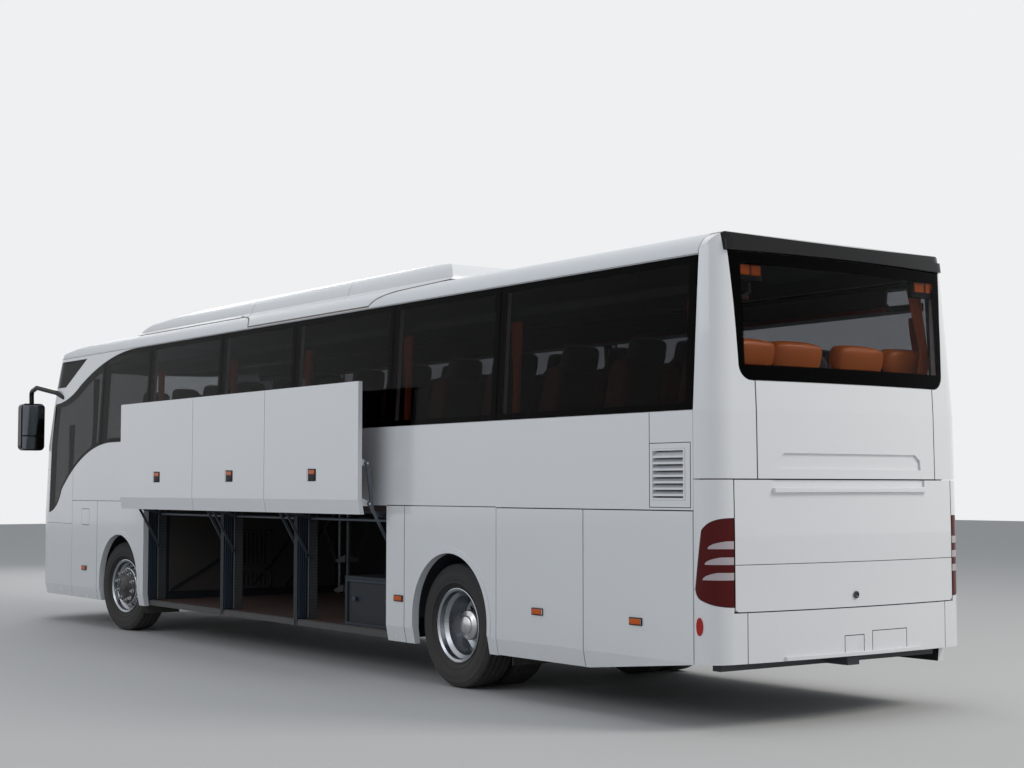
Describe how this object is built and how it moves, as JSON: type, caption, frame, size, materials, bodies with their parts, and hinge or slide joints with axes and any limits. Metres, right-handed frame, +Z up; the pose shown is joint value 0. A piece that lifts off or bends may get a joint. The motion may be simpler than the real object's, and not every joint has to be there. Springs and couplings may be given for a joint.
{
  "type": "coach bus",
  "caption": "High-deck two-axle touring coach with steering, turning wheels, swing-up luggage flaps, service flaps, an engine hatch and swinging passenger doors.",
  "frame": {"origin": "on the ground, at mid-length and on the centreline of the body, wheels standing on Z = 0", "axes": "+X forward, +Y to the coach's left side, +Z up"},
  "size_m": [12.9869, 3.026, 3.622],
  "materials": {
    "white_paint": "gloss",
    "black_gloss": "gloss",
    "tinted_glass": "gloss",
    "clear_lamp": "gloss",
    "red_lamp": "gloss",
    "frame_paint": "satin",
    "chassis_paint": "satin",
    "floor_covering": "matte",
    "seat_fabric": "matte",
    "curtain_fabric": "matte",
    "rack_plastic": "satin",
    "dash_plastic": "matte",
    "rubber": "matte",
    "tyre_rubber": "matte",
    "dark_rim": "satin",
    "polished_rim": "polished",
    "cast_steel": "satin",
    "engine_iron": "satin",
    "grey_box": "satin",
    "arm_steel": "satin"
  },
  "bodies": {
    "body": {"axles": "chassis_paint", "cabin_floor": "floor_covering", "curtains": "curtain_fabric", "driver_station": "dash_plastic", "engine_block": "engine_iron", "front_panels": "white_paint", "headlamps": "clear_lamp", "left_wall": "white_paint", "louvre_grille": "white_paint", "luggage_bay": "grey_box", "mirrors": "black_gloss", "mud_flaps": "rubber", "overhead_racks": "rack_plastic", "rear_body": "white_paint", "rear_bumper": "white_paint", "rear_spoiler": "black_gloss", "rear_window": "tinted_glass", "right_wall": "white_paint", "roof": "white_paint", "roof_units": "white_paint", "seats": "seat_fabric", "side_glass": "tinted_glass", "tail_and_side_lamps": "red_lamp", "underframe": "frame_paint", "windscreen": "tinted_glass"},
    "left_knuckle": {"left_knuckle": "cast_steel"},
    "right_knuckle": {"right_knuckle": "cast_steel"},
    "left_front_wheel": {"left_front_rim": "dark_rim", "left_front_tyre": "tyre_rubber"},
    "right_front_wheel": {"right_front_rim": "dark_rim", "right_front_tyre": "tyre_rubber"},
    "left_rear_wheels": {"left_rear_rims": "polished_rim", "left_rear_tyres": "tyre_rubber"},
    "right_rear_wheels": {"right_rear_rims": "polished_rim", "right_rear_tyres": "tyre_rubber"},
    "left_flap_front": {"left_flap_front": "white_paint"},
    "left_flap_front_arms": {"left_flap_front_arms": "arm_steel"},
    "left_flap_front_links": {"left_flap_front_links": "arm_steel"},
    "left_flap_middle": {"left_flap_middle": "white_paint"},
    "left_flap_middle_arms": {"left_flap_middle_arms": "arm_steel"},
    "left_flap_middle_links": {"left_flap_middle_links": "arm_steel"},
    "left_flap_rear": {"left_flap_rear": "white_paint"},
    "left_flap_rear_arms": {"left_flap_rear_arms": "arm_steel"},
    "left_flap_rear_links": {"left_flap_rear_links": "arm_steel"},
    "right_flap_front": {"right_flap_front": "white_paint"},
    "right_flap_front_arms": {"right_flap_front_arms": "arm_steel"},
    "right_flap_rear": {"right_flap_rear": "white_paint"},
    "right_flap_rear_arms": {"right_flap_rear_arms": "arm_steel"},
    "engine_hatch": {"engine_hatch": "white_paint"},
    "engine_side_flap": {"engine_side_flap": "white_paint"},
    "rear_service_flap": {"rear_service_flap": "white_paint"},
    "right_service_flap": {"right_service_flap": "white_paint"},
    "fuel_flap": {"fuel_flap": "white_paint"},
    "front_door_arms": {"front_door_arms": "arm_steel"},
    "mid_door_arms": {"mid_door_arms": "arm_steel"},
    "front_door": {"front_door": "white_paint", "front_door_glass": "tinted_glass"},
    "mid_door": {"mid_door": "white_paint", "mid_door_glass": "tinted_glass"}
  },
  "joints": [
    {"name": "left_steering", "type": "hinge", "parent": "body", "child": "left_knuckle", "pos_m": [3.64, 0.89, 0.505], "axis": [0, 0, 1], "range_deg": [-47, 33]},
    {"name": "left_front_wheel_spin", "type": "hinge", "parent": "left_knuckle", "child": "left_front_wheel", "pos_m": [3.62026, 1.05079, 0.505], "axis": [-0.1219, 0.9925, 0], "continuous": true},
    {"name": "left_rear_wheels_spin", "type": "hinge", "parent": "body", "child": "left_rear_wheels", "pos_m": [-3.22, 0.902, 0.505], "axis": [0, 1, 0], "continuous": true},
    {"name": "right_steering", "type": "hinge", "parent": "body", "child": "right_knuckle", "pos_m": [3.64, -0.89, 0.505], "axis": [0, 0, 1], "range_deg": [-47, 33]},
    {"name": "right_front_wheel_spin", "type": "hinge", "parent": "right_knuckle", "child": "right_front_wheel", "pos_m": [3.65974, -1.05079, 0.505], "axis": [-0.1219, 0.9925, 0], "continuous": true},
    {"name": "right_rear_wheels_spin", "type": "hinge", "parent": "body", "child": "right_rear_wheels", "pos_m": [-3.22, -0.902, 0.505], "axis": [0, 1, 0], "continuous": true},
    {"name": "left_flap_front_swing", "type": "hinge", "parent": "body", "child": "left_flap_front_arms", "pos_m": [1.958, 1.12, 1.34028], "axis": [1, 0, 0], "range_deg": [-150.3, 0]},
    {"name": "left_flap_front_level", "type": "hinge", "parent": "left_flap_front_arms", "child": "left_flap_front", "pos_m": [1.958, 1.405, 1.84], "axis": [1, 0, 0], "range_deg": [0, 150.3]},
    {"name": "left_flap_front_link_swing", "type": "hinge", "parent": "body", "child": "left_flap_front_links", "pos_m": [1.958, 1.12, 0.99028], "axis": [1, 0, 0], "range_deg": [-150.3, 0]},
    {"name": "left_flap_middle_swing", "type": "hinge", "parent": "body", "child": "left_flap_middle_arms", "pos_m": [0.26, 1.12, 1.34028], "axis": [1, 0, 0], "range_deg": [-150.3, 0]},
    {"name": "left_flap_middle_level", "type": "hinge", "parent": "left_flap_middle_arms", "child": "left_flap_middle", "pos_m": [0.26, 1.405, 1.84], "axis": [1, 0, 0], "range_deg": [0, 150.3]},
    {"name": "left_flap_middle_link_swing", "type": "hinge", "parent": "body", "child": "left_flap_middle_links", "pos_m": [0.26, 1.12, 0.99028], "axis": [1, 0, 0], "range_deg": [-150.3, 0]},
    {"name": "left_flap_rear_swing", "type": "hinge", "parent": "body", "child": "left_flap_rear_arms", "pos_m": [-1.383, 1.12, 1.34028], "axis": [1, 0, 0], "range_deg": [-150.3, 0]},
    {"name": "left_flap_rear_level", "type": "hinge", "parent": "left_flap_rear_arms", "child": "left_flap_rear", "pos_m": [-1.383, 1.405, 1.84], "axis": [1, 0, 0], "range_deg": [0, 150.3]},
    {"name": "left_flap_rear_link_swing", "type": "hinge", "parent": "body", "child": "left_flap_rear_links", "pos_m": [-1.383, 1.12, 0.99028], "axis": [1, 0, 0], "range_deg": [-150.3, 0]},
    {"name": "right_flap_front_swing", "type": "hinge", "parent": "body", "child": "right_flap_front_arms", "pos_m": [1.818, -1.12, 1.34028], "axis": [-1, 0, 0], "range_deg": [0, 150.3]},
    {"name": "right_flap_front_level", "type": "hinge", "parent": "right_flap_front_arms", "child": "right_flap_front", "pos_m": [1.818, -1.12, 0.765], "axis": [-1, 0, 0], "range_deg": [-150.3, 0]},
    {"name": "right_flap_rear_swing", "type": "hinge", "parent": "body", "child": "right_flap_rear_arms", "pos_m": [-0.288, -1.12, 1.34028], "axis": [-1, 0, 0], "range_deg": [0, 150.3]},
    {"name": "right_flap_rear_level", "type": "hinge", "parent": "right_flap_rear_arms", "child": "right_flap_rear", "pos_m": [-0.288, -1.12, 0.765], "axis": [-1, 0, 0], "range_deg": [-150.3, 0]},
    {"name": "front_door_swing", "type": "hinge", "parent": "body", "child": "front_door_arms", "pos_m": [5.48269, -1.03, 1.5], "axis": [0, 0, 1], "range_deg": [0, 117.02]},
    {"name": "front_door_level", "type": "hinge", "parent": "front_door_arms", "child": "front_door", "pos_m": [5, -1.14, 1.5], "axis": [0, 0, 1], "range_deg": [-117.02, 0]},
    {"name": "mid_door_swing", "type": "hinge", "parent": "body", "child": "mid_door_arms", "pos_m": [-2.30769, -1.03, 1.5], "axis": [0, 0, -1], "range_deg": [0, 117.02]},
    {"name": "mid_door_level", "type": "hinge", "parent": "mid_door_arms", "child": "mid_door", "pos_m": [-1.825, -1.14, 1.5], "axis": [0, 0, -1], "range_deg": [-117.02, 0]},
    {"name": "engine_hatch_lift", "type": "hinge", "parent": "body", "child": "engine_hatch", "pos_m": [-6.475, 0, 1.684], "axis": [0, 1, 0], "range_deg": [0, 80]},
    {"name": "engine_side_flap_lift", "type": "hinge", "parent": "body", "child": "engine_side_flap", "pos_m": [-5.58, 1.275, 1.472], "axis": [1, 0, 0], "range_deg": [0, 90]},
    {"name": "rear_service_flap_lift", "type": "hinge", "parent": "body", "child": "rear_service_flap", "pos_m": [-4.432, 1.275, 1.472], "axis": [1, 0, 0], "range_deg": [0, 90]},
    {"name": "right_service_flap_lift", "type": "hinge", "parent": "body", "child": "right_service_flap", "pos_m": [-4.432, -1.275, 1.472], "axis": [-1, 0, 0], "range_deg": [0, 90]},
    {"name": "fuel_flap_swing", "type": "hinge", "parent": "body", "child": "fuel_flap", "pos_m": [4.688, 1.275, 1.284], "axis": [0, 0, -1], "range_deg": [0, 110]}
  ],
  "couplings": [
    {"joint": "right_steering", "follows": "left_steering", "ratio": 1},
    {"joint": "left_flap_front_level", "follows": "left_flap_front_swing", "ratio": -1},
    {"joint": "left_flap_front_link_swing", "follows": "left_flap_front_swing", "ratio": 1},
    {"joint": "left_flap_middle_level", "follows": "left_flap_middle_swing", "ratio": -1},
    {"joint": "left_flap_middle_link_swing", "follows": "left_flap_middle_swing", "ratio": 1},
    {"joint": "left_flap_rear_level", "follows": "left_flap_rear_swing", "ratio": -1},
    {"joint": "left_flap_rear_link_swing", "follows": "left_flap_rear_swing", "ratio": 1},
    {"joint": "right_flap_front_level", "follows": "right_flap_front_swing", "ratio": -1},
    {"joint": "right_flap_rear_level", "follows": "right_flap_rear_swing", "ratio": -1},
    {"joint": "front_door_level", "follows": "front_door_swing", "ratio": -1},
    {"joint": "mid_door_level", "follows": "mid_door_swing", "ratio": -1}
  ]
}
